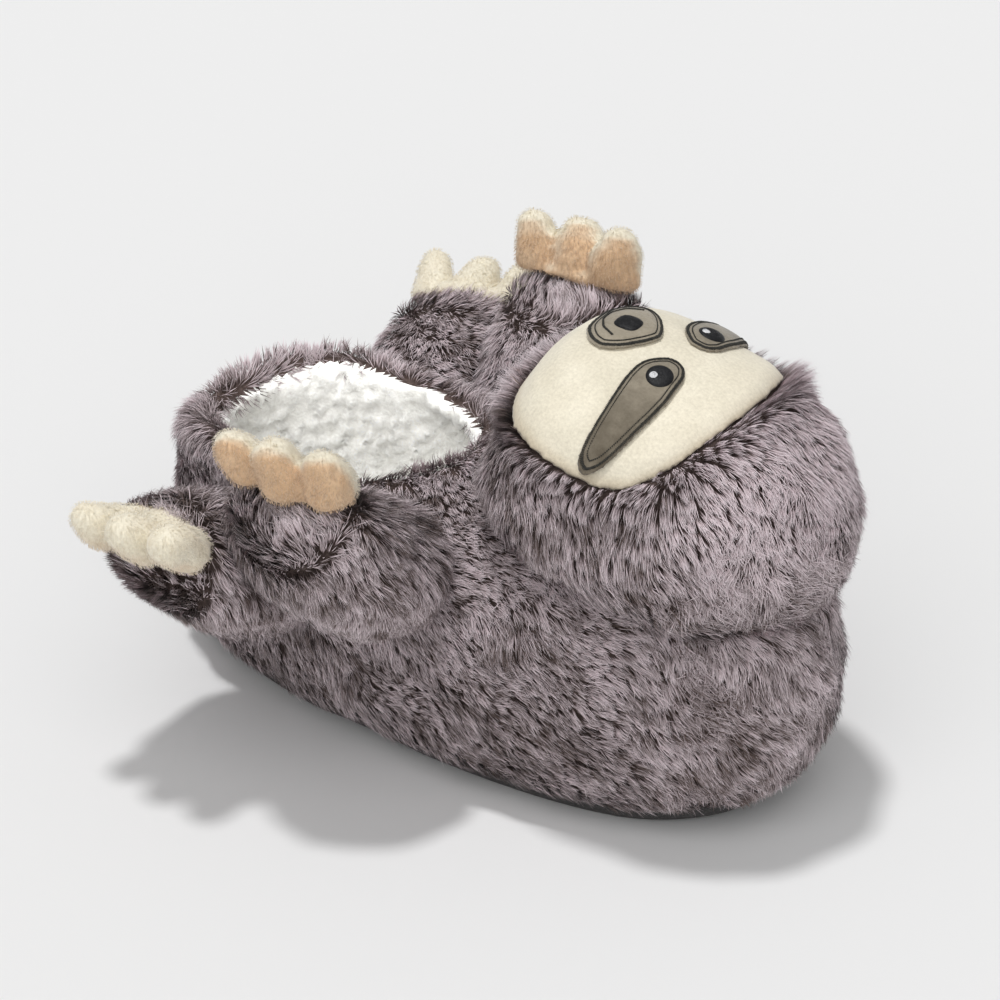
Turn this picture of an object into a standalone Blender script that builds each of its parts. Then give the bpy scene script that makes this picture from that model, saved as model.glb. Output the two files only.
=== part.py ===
"""Animal slipper: a stuffed sloth lying on its back on a soft closed-toe slipper.

Frame: +X to the toe, +Y to the wearer's left, +Z up, in metres.
The origin is on the floor, on the flat forefoot of the outsole.
"""
import math

import bmesh
import bpy
import numpy as np

# Sizes that may be changed
LENGTH = 0.262          # upper, back of the heel to the tip of the toe
BALL_WIDTH = 0.112      # upper, across its widest ring
INSTEP_HEIGHT = 0.108   # top of the collar at the throat
HEEL_HEIGHT = 0.096     # top of the collar at the back of the heel
WALL = 0.0085           # face fabric, padding and pile of the upper
COLLAR_ROLL = 0.0140    # thickness of the rolled collar at the heel
SOLE_THICK = 0.0055
SOLE_INSET = 0.004      # the outsole's edge lies this far inside the upper's
ARCH_LIFT = 0.0014
TOE_SPRING = 0.0040
INSOLE_THICK = 0.0070
HEAD_LENGTH = 0.128
HEAD_WIDTH = 1.02 * BALL_WIDTH
HEAD_RISE = 0.058       # from the head's widest level up to the face
HEAD_SINK = 0.026       # from there down to the back of the head
HEAD_PITCH = 14.0       # degrees the chin is raised
PANEL_THICK = 0.0022
PATCH_THICK = 0.0014
LIMB_SIZE = 0.070       # thickness scale of the arms and legs
CLAW_REACH = 0.0280     # longest claw, from the limb's end to its tip
LOCK_DEPTH = 0.0034     # height of a fur lock over the hollow beside it
GAP = 0.0003            # clearance between neighbouring pieces

# Grid counts
AROUND = 68
OUTER_ROWS = 15
ROLL_ROWS = 5
INNER_ROWS = 7
HEAD_AROUND = 44
PANEL_ROWS = 5
HEAD_ROWS = 11
LIMB_AROUND = 16
LIMB_ROWS = 9
LOBE_AROUND = 10
LOBE_ROWS = 5

# Shape tables. Each row of UPPER_RINGS is a level ring of the upper.
# heel, toe: ends of the ring in shares of LENGTH; half: half width in shares of BALL_WIDTH;
# taper: how much wider its front is; power: 1 is an ellipse, less is boxier;
# z at the heel, side and toe in shares of HEEL_HEIGHT, their mean and INSTEP_HEIGHT;
# wall at the heel, side and toe in shares of WALL
RING_COLUMNS = ("heel", "toe", "half", "taper", "power", "z_heel", "z_side", "z_toe",
                "wall_heel", "wall_side", "wall_toe")
UPPER_RINGS = (
    (-0.462, 0.440, 0.425, 0.11, 0.84, 0.065, 0.060, 0.075, 1.00, 1.00, 1.00),
    (-0.482, 0.470, 0.475, 0.11, 0.85, 0.170, 0.140, 0.180, 1.00, 1.00, 1.00),
    (-0.494, 0.494, 0.500, 0.10, 0.87, 0.370, 0.300, 0.360, 1.05, 1.05, 1.10),
    (-0.499, 0.494, 0.495, 0.08, 0.89, 0.600, 0.520, 0.655, 1.10, 1.10, 1.15),
    (-0.498, 0.440, 0.475, 0.05, 0.91, 0.770, 0.720, 0.845, 1.30, 1.20, 1.20),
    (-0.494, 0.245, 0.440, 0.00, 0.94, 0.860, 0.860, 0.925, 1.70, 1.30, 1.30),
    (-0.484, -0.035, 0.395, -0.04, 0.98, 0.915, 0.930, 0.955, 2.00, 1.40, 1.80),
)

# Face outline on the head: angle from the chin, and reach from the face's middle, in degrees
FACE_EDGE = ((0, 46), (22, 49), (45, 52), (69, 54.5), (86, 57), (101, 57), (118, 51), (138, 43), (160, 38.5),
             (180, 37.5))
# Roundness of the head to the chin, the crown, sideways and upward: 2 is an ellipsoid, more is boxier
HEAD_POWERS = (4.6, 2.2, 1.95, 2.1)
HEAD_PLACE = (0.270, 0.0, 0.972)   # middle of the head in shares of LENGTH, LENGTH, INSTEP_HEIGHT
FACE_TILT = 19.0                   # degrees the face leans to the collar

# Patch outlines on the face as seen from above: shares of HEAD_LENGTH and HEAD_WIDTH,
# measured from the middle of the head, x to the toe and y outward
EYE_PATCH = ((-0.156, 0.392), (-0.160, 0.310), (-0.169, 0.193), (-0.166, 0.127), (-0.137, 0.073),
             (-0.090, 0.046), (-0.045, 0.076), (-0.027, 0.145), (-0.034, 0.266), (-0.066, 0.385),
             (-0.105, 0.425), (-0.137, 0.421))
MUZZLE_PATCH = ((-0.362, 0.000), (-0.357, 0.062), (-0.325, 0.112), (-0.280, 0.135), (-0.232, 0.112),
                (-0.192, 0.062), (-0.168, 0.000))

# Limb sections on the wearer's right: x in shares of LENGTH, y in shares of BALL_WIDTH, z in shares
# of INSTEP_HEIGHT, then the half sizes along the foot and across the limb in shares of LIMB_SIZE
LIMB_COLUMNS = ("x", "y", "z", "along", "across")
ARM_SECTIONS = (
    (-0.045, -0.30, 0.72, 0.38, 0.27),
    (-0.055, -0.50, 0.76, 0.45, 0.34),
    (-0.072, -0.66, 0.86, 0.49, 0.34),
    (-0.084, -0.75, 1.00, 0.46, 0.29),
    (-0.088, -0.78, 1.12, 0.39, 0.20),
)
LEG_SECTIONS = (
    (-0.235, -0.28, 0.54, 0.36, 0.27),
    (-0.245, -0.48, 0.60, 0.44, 0.34),
    (-0.262, -0.65, 0.69, 0.47, 0.36),
    (-0.280, -0.78, 0.79, 0.43, 0.29),
    (-0.288, -0.86, 0.87, 0.36, 0.19),
)
# Claw lobes: offset along the limb's end, lean to the heel and outward in degrees, then reach, half
# width and half depth; sizes in shares of CLAW_REACH
CLAW_COLUMNS = ("offset", "lean_back", "lean_out", "reach", "half_width", "half_depth")
ARM_CLAWS = (
    (-0.46, 15.0, 2.0, 0.93, 0.32, 0.29),
    (0.00, 5.0, 6.0, 1.00, 0.36, 0.33),
    (0.49, -3.0, 0.0, 0.96, 0.34, 0.31),
)
LEG_CLAWS = (
    (-0.51, 16.0, 16.0, 0.76, 0.29, 0.28),
    (0.00, 6.0, 20.0, 0.79, 0.32, 0.30),
    (0.51, -8.0, 14.0, 0.75, 0.33, 0.30),
)
CLAW_ROOT = 0.43        # how far the lobes reach back into the limb, in shares of CLAW_REACH

FUR = (0.42, 0.38, 0.41)
CREAM = (0.86, 0.82, 0.68)
TAUPE = (0.36, 0.33, 0.27)
SHERPA = (0.88, 0.88, 0.84)
SOLE_GREY = (0.20, 0.19, 0.19)


def clear_scene():
    for thing in list(bpy.data.objects):
        bpy.data.objects.remove(thing, do_unlink=True)


def material(name, rgb, roughness):
    mat = bpy.data.materials.new(name)
    mat.use_nodes = True
    shader = mat.node_tree.nodes["Principled BSDF"]
    shader.inputs["Base Color"].default_value = (rgb[0], rgb[1], rgb[2], 1.0)
    shader.inputs["Roughness"].default_value = roughness
    mat.diffuse_color = (rgb[0], rgb[1], rgb[2], 1.0)
    return mat


def smooth(t):
    t = min(max(t, 0.0), 1.0)
    return t * t * (3.0 - 2.0 * t)


def spline(rows, at, closed=False):
    """Catmull-Rom through equally spaced rows; at runs from 0 to len(rows) - 1, or on around."""
    rows = np.asarray(rows, float)
    count = len(rows)
    base = int(math.floor(at))
    if not closed:
        base = min(max(base, 0), count - 2)
    t = at - base

    def row(i):
        if closed:
            return rows[i % count]
        if i < 0:
            return 2.0 * rows[0] - rows[1]
        if i >= count:
            return 2.0 * rows[-1] - rows[-2]
        return rows[i]

    p0, p1, p2, p3 = row(base - 1), row(base), row(base + 1), row(base + 2)
    return 0.5 * (2.0 * p1 + (p2 - p0) * t + (2.0 * p0 - 5.0 * p1 + 4.0 * p2 - p3) * t * t
                  + (3.0 * p1 - p0 - 3.0 * p2 + p3) * t * t * t)


def unit(v):
    v = np.asarray(v, float)
    return v / max(np.linalg.norm(v), 1e-12)


def sole_lift(x):
    """Height of the outsole's underside: flat heel and forefoot, arch between, spring at the toe."""
    s = x / LENGTH
    arch = smooth((s + 0.20) / 0.06) * smooth((-0.03 - s) / 0.06) * ARCH_LIFT
    toe = smooth((s - 0.27) / 0.18) * TOE_SPRING
    heel = smooth((-0.40 - s) / 0.07) * 0.25 * TOE_SPRING
    return arch + toe + heel


def make_object(name, verts, faces, mat=None):
    mesh = bpy.data.meshes.new(name)
    mesh.from_pydata([tuple(v) for v in verts], [], faces)
    bm = bmesh.new()
    bm.from_mesh(mesh)
    bmesh.ops.triangulate(bm, faces=bm.faces)
    bmesh.ops.recalc_face_normals(bm, faces=bm.faces)
    if bm.calc_volume(signed=True) < 0:
        bmesh.ops.reverse_faces(bm, faces=bm.faces)
    bm.to_mesh(mesh)
    bm.free()
    thing = bpy.data.objects.new(name, mesh)
    bpy.context.scene.collection.objects.link(thing)
    if mat is not None:
        mesh.materials.append(mat)
    return thing


def ring_faces(rows, around, first=0):
    """Quads between consecutive rings of a grid."""
    faces = []
    for i in range(rows - 1):
        for j in range(around):
            k = (j + 1) % around
            a = first + i * around
            faces.append((a + j, a + k, a + around + k, a + around + j))
    return faces


def tube(name, rings, mat=None, start=None, end=None):
    """Closed solid from a stack of rings; start and end are the points that cap it."""
    around = len(rings[0])
    verts = [p for ring in rings for p in ring]
    faces = ring_faces(len(rings), around)
    if start is None:
        start = np.mean(rings[0], axis=0)
    if end is None:
        end = np.mean(rings[-1], axis=0)
    low, high = len(verts), len(verts) + 1
    verts += [start, end]
    last = (len(rings) - 1) * around
    for j in range(around):
        k = (j + 1) % around
        faces.append((k, j, low))
        faces.append((last + j, last + k, high))
    return make_object(name, verts, faces, mat)


def boolean(thing, other, operation):
    step = thing.modifiers.new("step", "BOOLEAN")
    step.operation = operation
    step.solver = "EXACT"
    step.object = other
    graph = bpy.context.evaluated_depsgraph_get()
    mesh = bpy.data.meshes.new_from_object(thing.evaluated_get(graph))
    thing.modifiers.clear()
    old = thing.data
    thing.data = mesh
    mesh.name = old.name
    bpy.data.meshes.remove(old)


def cut(thing, cutter):
    cutter.hide_render = True
    cutter.display_type = "WIRE"
    boolean(thing, cutter, "DIFFERENCE")


def finish_mesh(thing):
    """Merge the specks that a cut leaves, keep the main body and triangulate."""
    bm = bmesh.new()
    bm.from_mesh(thing.data)
    bmesh.ops.remove_doubles(bm, verts=bm.verts, dist=0.00005)
    bmesh.ops.dissolve_degenerate(bm, dist=0.00003, edges=bm.edges)
    bmesh.ops.triangulate(bm, faces=bm.faces)
    left = set(bm.verts)
    bodies = []
    while left:
        seed = left.pop()
        body, stack = {seed}, [seed]
        while stack:
            for edge in stack.pop().link_edges:
                for vert in edge.verts:
                    if vert in left:
                        left.discard(vert)
                        body.add(vert)
                        stack.append(vert)
        bodies.append(body)
    bodies.sort(key=len)
    for body in bodies[:-1]:
        bmesh.ops.delete(bm, geom=list(body), context="VERTS")
    bmesh.ops.recalc_face_normals(bm, faces=bm.faces)
    bm.to_mesh(thing.data)
    bm.free()


# The upper

def upper_row(level):
    return dict(zip(RING_COLUMNS, spline(UPPER_RINGS, level)))


def end_blend(c, heel, side, toe):
    return side + ((toe if c > 0 else heel) - side) * c * c


def upper_skin(theta, level):
    """Point of the upper's smooth outer face at an angle around the foot and a ring level."""
    row = upper_row(level)
    c, s = math.cos(theta), math.sin(theta)
    c = math.copysign(abs(c) ** row["power"], c)
    s = math.copysign(abs(s) ** row["power"], s)
    middle = 0.5 * (row["toe"] + row["heel"]) * LENGTH
    reach = 0.5 * (row["toe"] - row["heel"]) * LENGTH
    x = middle + reach * c
    y = row["half"] * BALL_WIDTH * s * (1.0 + row["taper"] * c)
    side_height = 0.5 * (HEEL_HEIGHT + INSTEP_HEIGHT)
    z = end_blend(c, row["z_heel"] * HEEL_HEIGHT, row["z_side"] * side_height, row["z_toe"] * INSTEP_HEIGHT)
    if level < 1.0:
        foot = UPPER_RINGS[0][5:8]
        rest = end_blend(c, foot[0] * HEEL_HEIGHT, foot[1] * side_height, foot[2] * INSTEP_HEIGHT)
        z += (sole_lift(x) + SOLE_THICK + GAP - rest) * (1.0 - level) ** 2
    return np.array([x, y, z])


def upper_wall(theta, level):
    row = upper_row(level)
    c = math.cos(theta)
    wall = end_blend(c, row["wall_heel"], row["wall_side"], row["wall_toe"]) * WALL
    roll = COLLAR_ROLL / (UPPER_RINGS[-1][8] * WALL)
    return wall * (1.0 + (roll - 1.0) * smooth(level - 5.0))


def upper_frame(theta, level):
    """Outward normal and upward direction of the smooth outer face."""
    step = 0.004
    top = len(UPPER_RINGS) - 1.0
    low, high = max(level - step, 0.0), min(level + step, top)
    around = upper_skin(theta + step, level) - upper_skin(theta - step, level)
    rise = upper_skin(theta, high) - upper_skin(theta, low)
    normal = unit(np.cross(around, rise))
    if level < 0.02:
        normal = unit(np.array([around[1], -around[0], 0.0]))
    return normal, unit(rise)


def lock(column, row):
    """Height of the pile at a grid corner: tips and hollows in staggered rows."""
    turn = (column + (2 if (row // 2) % 2 else 0)) % 4
    side = (0.0, 0.55, 1.0, 0.55)[turn]
    drop = (1.0, 0.35)[row % 2]
    return LOCK_DEPTH * (side * drop - 0.35)


def outer_ring(i, spread=0.0, locks=True):
    """Ring i of the upper's outer face, moved out by spread."""
    top = len(UPPER_RINGS) - 1.0
    level = top * i / (OUTER_ROWS - 1.0)
    ring = []
    for j in range(AROUND):
        theta = 2.0 * math.pi * j / AROUND
        point = upper_skin(theta, level)
        normal, rise = upper_frame(theta, level)
        pile = lock(j, i) if locks and 0 < i else 0.0
        ring.append(point + normal * (pile + spread))
    return ring


def roll_ring(k, spread=0.0):
    """Ring k of the half round that turns the outer face over into the inner one."""
    top = len(UPPER_RINGS) - 1.0
    angle = math.pi * (k + 1.0) / (ROLL_ROWS + 1.0)
    ring = []
    for j in range(AROUND):
        theta = 2.0 * math.pi * j / AROUND
        point = upper_skin(theta, top)
        normal, rise = upper_frame(theta, top)
        half = 0.5 * upper_wall(theta, top)
        rise = unit(np.array([0.0, 0.0, 1.0]) - normal * normal[2])
        middle = point - normal * half
        pile = 0.6 * lock(j, OUTER_ROWS + k) if k < ROLL_ROWS - 1 else 0.0
        reach = half + spread + pile
        ring.append(middle + reach * (normal * math.cos(angle) + rise * math.sin(angle)))
    return ring


def inner_ring(i, spread=0.0):
    """Ring i of the upper's inner face, counted from the bottom."""
    top = len(UPPER_RINGS) - 1.0
    level = top * i / (INNER_ROWS - 1.0)
    ring = []
    for j in range(AROUND):
        theta = 2.0 * math.pi * j / AROUND
        point = upper_skin(theta, level)
        normal, rise = upper_frame(theta, level)
        ring.append(point - normal * (upper_wall(theta, level) + spread))
    return ring


def build_upper(mat):
    rings = [outer_ring(i) for i in range(OUTER_ROWS)]
    rings += [roll_ring(k) for k in range(ROLL_ROWS)]
    rings += [inner_ring(i) for i in reversed(range(INNER_ROWS))]
    verts = [p for ring in rings for p in ring]
    faces = ring_faces(len(rings), AROUND)
    last = (len(rings) - 1) * AROUND
    for j in range(AROUND):
        k = (j + 1) % AROUND
        faces.append((last + j, last + k, k, j))
    return make_object("upper", verts, faces, mat)


def upper_envelope(spread):
    """The upper's outside as one filled solid, used to trim what is sewn on it."""
    rings = [[np.array([p[0], p[1], -0.2 * INSTEP_HEIGHT]) for p in outer_ring(0, spread)]]
    rings += [outer_ring(i, spread) for i in range(OUTER_ROWS)]
    rings += [roll_ring(k, spread) for k in range((ROLL_ROWS + 1) // 2)]
    return tube("upper_envelope", rings)


# The sole parts are plates that follow the underside

def plate(name, ring, lift, edge, mat):
    """Plate over a symmetric outline; lift gives its low and high faces, edge rounds its rim."""
    low, high = lift
    count = len(ring)
    middle = np.mean(np.asarray(ring)[:, :2], axis=0)
    rings = []
    for inset, share in ((edge, 0.0), (0.0, 0.25), (0.0, 0.75), (edge, 1.0)):
        row = []
        for p in ring:
            out = unit(np.array([p[0] - middle[0], (p[1] - middle[1]) * 2.0]))
            x, y = p[0] - out[0] * inset, p[1] - out[1] * inset
            z_low, z_high = sole_lift(x) + low, sole_lift(x) + high
            row.append((x, y, z_low + (z_high - z_low) * share))
        rings.append(row)
    verts = [p for row in rings for p in row]
    faces = ring_faces(4, count)
    for base, flip in ((0, True), (3 * count, False)):
        for j in range(count // 2):
            a, b = base + j, base + j + 1
            c, d = base + (count - j - 1) % count, base + (count - j) % count
            quad = [a, b, c, d]
            corners = []
            for v in quad:
                if v not in corners:
                    corners.append(v)
            if len(corners) > 2:
                faces.append(tuple(reversed(corners)) if flip else tuple(corners))
    return make_object(name, verts, faces, mat)


def build_outsole(mat):
    ring = outer_ring(0, -SOLE_INSET, locks=False)
    return plate("outsole", ring, (0.0, SOLE_THICK), 0.22 * SOLE_THICK, mat)


def build_insole(mat):
    ring = inner_ring(0, GAP)
    return plate("insole", ring, (SOLE_THICK + GAP, SOLE_THICK + GAP + INSOLE_THICK), 0.09 * INSOLE_THICK, mat)


# The head

def head_centre():
    return np.array([HEAD_PLACE[0] * LENGTH, HEAD_PLACE[1] * LENGTH, HEAD_PLACE[2] * INSTEP_HEIGHT])


def head_turned(v):
    """Turn a vector from the head's own axes, which lie level, to the raised chin."""
    c, s = math.cos(math.radians(HEAD_PITCH)), math.sin(math.radians(HEAD_PITCH))
    return np.array([c * v[0] + s * v[2], v[1], c * v[2] - s * v[0]])


def head_half(z):
    return np.array([0.5 * HEAD_LENGTH, 0.5 * HEAD_WIDTH, HEAD_RISE if z > 0 else HEAD_SINK])


def head_powers(x):
    return np.array([HEAD_POWERS[1] if x > 0 else HEAD_POWERS[0], HEAD_POWERS[2], HEAD_POWERS[3]])


def head_reach(direction):
    """Distance from the middle of the head to its surface, by halving the interval."""
    share = np.abs(direction) / head_half(direction[2])
    powers = head_powers(direction[0])
    low, high = 0.0, 0.2
    for _ in range(32):
        middle = 0.5 * (low + high)
        if np.sum((share * middle) ** powers) > 1.0:
            high = middle
        else:
            low = middle
    return 0.5 * (low + high)


def head_direction(polar, turn):
    """Direction at a polar angle from the face's middle and a turn from the chin."""
    tilt = math.radians(FACE_TILT)
    pole = np.array([-math.sin(tilt), 0.0, math.cos(tilt)])
    chin = np.array([-math.cos(tilt), 0.0, -math.sin(tilt)])
    side = np.cross(pole, chin)
    return pole * math.cos(polar) + (chin * math.cos(turn) + side * math.sin(turn)) * math.sin(polar)


def face_edge(turn):
    """Polar angle of the face's edge at a turn from the chin."""
    angle = abs((math.degrees(turn) + 180.0) % 360.0 - 180.0)
    turns = [row[0] for row in FACE_EDGE]
    reach = [row[1] for row in FACE_EDGE]
    place = np.interp(angle, turns, np.arange(len(turns)))
    mirrored = [[reach[1]]] + [[r] for r in reach] + [[reach[-2]]]
    return math.radians(float(spline(mirrored, place + 1.0)[0]))


def head_ring(share, drop, locks=None, spread=0.0):
    """Ring of the head: share 0 to 1 is from the face's middle to its edge, 1 to 2 on to the far pole."""
    ring = []
    for j in range(HEAD_AROUND):
        turn = 2.0 * math.pi * j / HEAD_AROUND
        edge = face_edge(turn)
        polar = edge * share if share <= 1.0 else edge + (math.pi - edge) * (share - 1.0)
        direction = head_direction(polar, turn)
        pile = lock(j, locks) * 1.1 if locks is not None else 0.0
        ring.append(head_centre() + head_turned(direction * (head_reach(direction) + pile + spread - drop)))
    return ring


def pole_point(drop, front=True):
    direction = head_direction(0.0 if front else math.pi, 0.0)
    return head_centre() + head_turned(direction * (head_reach(direction) - drop))


def build_head(mat, spread=0.0, name="head"):
    sunk = PANEL_THICK + GAP - spread
    rings = [head_ring(k / PANEL_ROWS, sunk) for k in range(1, PANEL_ROWS + 1)]
    for k in range(HEAD_ROWS):
        share = 1.004 + 0.93 * k / (HEAD_ROWS - 1.0)
        rings.append(head_ring(share, -0.55 * PANEL_THICK if k == 0 else 0.0, None if k == 0 else k, spread))
    return tube(name, rings, mat, pole_point(sunk), pole_point(-spread, front=False))


def build_face_panel(mat):
    inset = 0.992
    low = [head_ring(inset * k / PANEL_ROWS, PANEL_THICK) for k in range(1, PANEL_ROWS + 1)]
    high = [head_ring(inset * k / PANEL_ROWS, 0.0) for k in range(1, PANEL_ROWS + 1)]
    rings = low + high[::-1]
    return tube("face_panel", rings, mat, pole_point(PANEL_THICK), pole_point(0.0))


def on_face(x, y, height):
    """Point over the face above a place in plan, measured from the middle of the head."""
    half = head_half(1.0)
    powers = head_powers(x)
    rest = 1.0 - abs(x / half[0]) ** powers[0] - abs(y / half[1]) ** powers[1]
    z = half[2] * max(rest, 0.0) ** (1.0 / powers[2])
    slope = [math.copysign(p * abs(v / h) ** (p - 1.0) / h, v) for v, h, p in zip((x, y, z), half, powers)]
    return head_centre() + head_turned(np.array([x, y, z]) + unit(slope) * height)


def build_patch(name, outline, side, count, mat):
    """Padded patch sewn on the face; side is 1 for the wearer's left."""
    rows = [(p[0] * HEAD_LENGTH, p[1] * HEAD_WIDTH * side) for p in outline]
    edge = [spline(rows, len(rows) * i / count, closed=True) for i in range(count)]
    centre = np.mean(edge, axis=0)
    steps = (0.35, 0.70, 1.0)
    low = [[on_face(*(centre + (p - centre) * s), GAP) for p in edge] for s in steps]
    high = [[on_face(*(centre + (p - centre) * s * 0.985), GAP + PATCH_THICK * h) for p in edge]
            for s, h in zip(steps, (1.5, 1.35, 0.8))]
    return tube(name, low + high[::-1], mat, on_face(*centre, GAP), on_face(*centre, GAP + PATCH_THICK * 1.55))


# Limbs and claws

def limb_point(sections, at):
    row = dict(zip(LIMB_COLUMNS, spline(sections, at)))
    place = np.array([row["x"] * LENGTH, row["y"] * BALL_WIDTH, row["z"] * INSTEP_HEIGHT])
    return place, row["along"] * LIMB_SIZE, row["across"] * LIMB_SIZE


def limb_frame(sections, at):
    """Direction of the limb, then the axes of its section along the foot and across."""
    step = 0.02
    onward = unit(limb_point(sections, at + step)[0] - limb_point(sections, at - step)[0])
    along = unit(np.array([1.0, 0.0, 0.0]) - onward * onward[0])
    return onward, along, np.cross(onward, along)


def on_side(points, side):
    """Points of the tables' side, or mirrored to the wearer's left where side is 1."""
    return [np.array([p[0], -p[1] * side, p[2]]) for p in points]


def build_limb(name, sections, side, mat, spread=0.0, locks=True):
    """Stuffed limb; side is -1 for the wearer's right, on which the table stands."""
    last = len(sections) - 1.0
    rings = []
    for i in range(LIMB_ROWS):
        share = i / (LIMB_ROWS - 1.0)
        at = last * (1.0 - (1.0 - share) ** 1.35)
        place, along, across = limb_point(sections, at)
        onward, axis_a, axis_b = limb_frame(sections, min(at, last - 0.03))
        close = 1.0 if share < 0.9 else 0.86
        ring = []
        for j in range(LIMB_AROUND):
            angle = 2.0 * math.pi * j / LIMB_AROUND
            c, s = math.cos(angle), math.sin(angle)
            pile = lock(j, i) if locks and i < LIMB_ROWS - 1 else 0.0
            ring.append(place + axis_a * c * (along * close + spread + pile)
                        + axis_b * s * (across * close + spread + pile))
        rings.append(on_side(ring, side))
    start, end = limb_point(sections, 0.0)[0], limb_point(sections, last)[0]
    onward = limb_frame(sections, last - 0.03)[0]
    caps = on_side([start, end + onward * (0.045 * LIMB_SIZE + spread)], side)
    return tube(name, rings, mat, caps[0], caps[1])


def lobe(centre, tip, wide, half_width, half_depth, side):
    """Rounded claw lobe from a point inside the limb's end to its tip."""
    onward = unit(tip - centre)
    wide = unit(wide - onward * np.dot(wide, onward))
    deep = np.cross(onward, wide)
    length = np.linalg.norm(tip - centre)
    rings = []
    for k in range(1, LOBE_ROWS + 1):
        polar = math.pi * k / (LOBE_ROWS + 1.0)
        ring = []
        for j in range(LOBE_AROUND):
            angle = 2.0 * math.pi * j / LOBE_AROUND
            swell = math.sin(polar) ** 0.8
            ring.append(centre + onward * length * 0.5 * (1.0 - math.cos(polar))
                        + wide * half_width * swell * math.cos(angle)
                        + deep * half_depth * swell * math.sin(angle))
        rings.append(on_side(ring, side))
    caps = on_side([centre, tip], side)
    return tube("lobe", rings, None, caps[0], caps[1])


def build_claws(name, sections, table, side, mat):
    last = len(sections) - 1.0
    end = limb_point(sections, last)[0]
    onward, along, across = limb_frame(sections, last - 0.03)
    size = CLAW_REACH
    claws = lobe(end + along * size * (table[0][0] - 0.28), end + along * size * (table[-1][0] + 0.28), onward,
                 0.27 * size, 0.30 * size, side)
    for entry in table:
        row = dict(zip(CLAW_COLUMNS, entry))
        back, out = math.radians(row["lean_back"]), math.radians(row["lean_out"])
        lean = unit(onward - along * math.tan(back) + np.array([0.0, -1.0, 0.0]) * math.tan(out))
        base = end + along * row["offset"] * size - onward * CLAW_ROOT * size
        piece = lobe(base, base + lean * (row["reach"] + CLAW_ROOT) * size, along, row["half_width"] * size,
                     row["half_depth"] * size, side)
        boolean(claws, piece, "UNION")
        bpy.data.objects.remove(piece, do_unlink=True)
    claws.name = name
    claws.data.name = name
    claws.data.materials.clear()
    claws.data.materials.append(mat)
    return claws


def main():
    clear_scene()
    fur = material("faux_fur", FUR, 0.9)
    cream = material("cream_velboa", CREAM, 0.85)
    taupe = material("taupe_velboa", TAUPE, 0.85)
    sherpa = material("white_sherpa", SHERPA, 0.95)
    rubber = material("sole_foam", SOLE_GREY, 0.7)

    build_outsole(rubber)
    build_insole(sherpa)
    build_upper(fur)
    envelope = upper_envelope(GAP)

    head = build_head(fur)
    cut(head, envelope)
    finish_mesh(head)
    head_cutter = build_head(fur, GAP, "head_envelope")
    build_face_panel(cream)
    muzzle = MUZZLE_PATCH + tuple((p[0], -p[1]) for p in MUZZLE_PATCH[-2:0:-1])
    build_patch("muzzle_patch", muzzle, 1, 24, taupe)
    for side, word in ((-1, "right"), (1, "left")):
        build_patch("eye_patch_" + word, EYE_PATCH, side, 26, taupe)
        arm = build_limb("arm_" + word, ARM_SECTIONS, side, fur)
        cut(arm, envelope)
        cut(arm, head_cutter)
        finish_mesh(arm)
        arm_cutter = build_limb("arm_envelope", ARM_SECTIONS, side, fur, GAP)
        leg = build_limb("leg_" + word, LEG_SECTIONS, side, fur)
        cut(leg, envelope)
        cut(leg, arm_cutter)
        finish_mesh(leg)
        leg_cutter = build_limb("leg_envelope", LEG_SECTIONS, side, fur, GAP)
        for limb, sections, table, cutter in (("arm", ARM_SECTIONS, ARM_CLAWS, arm_cutter),
                                              ("leg", LEG_SECTIONS, LEG_CLAWS, leg_cutter)):
            claws = build_claws(limb + "_claws_" + word, sections, table, side, cream)
            cut(claws, cutter)
            finish_mesh(claws)
        for cutter in (arm_cutter, leg_cutter):
            bpy.data.objects.remove(cutter, do_unlink=True)
    for cutter in (envelope, head_cutter):
        bpy.data.objects.remove(cutter, do_unlink=True)


main()
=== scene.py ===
"""Looks of the animal slipper: faux fur, stuffed head and limbs, sewn face, sherpa lining and floor.

Everything is in metres in the frame of the CAD: +X to the toe, +Y to the wearer's left, +Z up.
"""
import itertools
import math

import bpy
import numpy as np
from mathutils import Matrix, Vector
from mathutils.bvhtree import BVHTree


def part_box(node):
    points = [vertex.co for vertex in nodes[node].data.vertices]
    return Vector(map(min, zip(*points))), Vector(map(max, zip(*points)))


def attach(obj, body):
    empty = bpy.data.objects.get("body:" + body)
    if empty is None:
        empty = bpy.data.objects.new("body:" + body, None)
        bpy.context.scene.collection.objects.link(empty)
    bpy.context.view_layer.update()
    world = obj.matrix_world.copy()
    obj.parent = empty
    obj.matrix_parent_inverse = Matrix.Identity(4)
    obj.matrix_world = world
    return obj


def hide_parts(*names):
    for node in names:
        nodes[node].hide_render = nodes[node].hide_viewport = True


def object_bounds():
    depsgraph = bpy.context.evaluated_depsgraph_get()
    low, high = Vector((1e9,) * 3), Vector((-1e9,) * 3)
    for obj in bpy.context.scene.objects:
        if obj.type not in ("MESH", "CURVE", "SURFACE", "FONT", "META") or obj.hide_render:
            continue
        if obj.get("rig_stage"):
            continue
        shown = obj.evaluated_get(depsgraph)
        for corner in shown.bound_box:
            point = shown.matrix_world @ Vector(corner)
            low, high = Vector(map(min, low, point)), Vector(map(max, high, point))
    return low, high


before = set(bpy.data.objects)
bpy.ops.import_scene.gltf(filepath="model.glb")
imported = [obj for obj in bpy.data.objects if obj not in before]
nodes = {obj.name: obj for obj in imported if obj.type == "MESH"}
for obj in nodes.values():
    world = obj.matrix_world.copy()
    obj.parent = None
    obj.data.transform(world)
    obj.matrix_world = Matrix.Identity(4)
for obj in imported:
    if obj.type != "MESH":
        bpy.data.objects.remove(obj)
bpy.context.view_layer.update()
MM = 0.001

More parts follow.
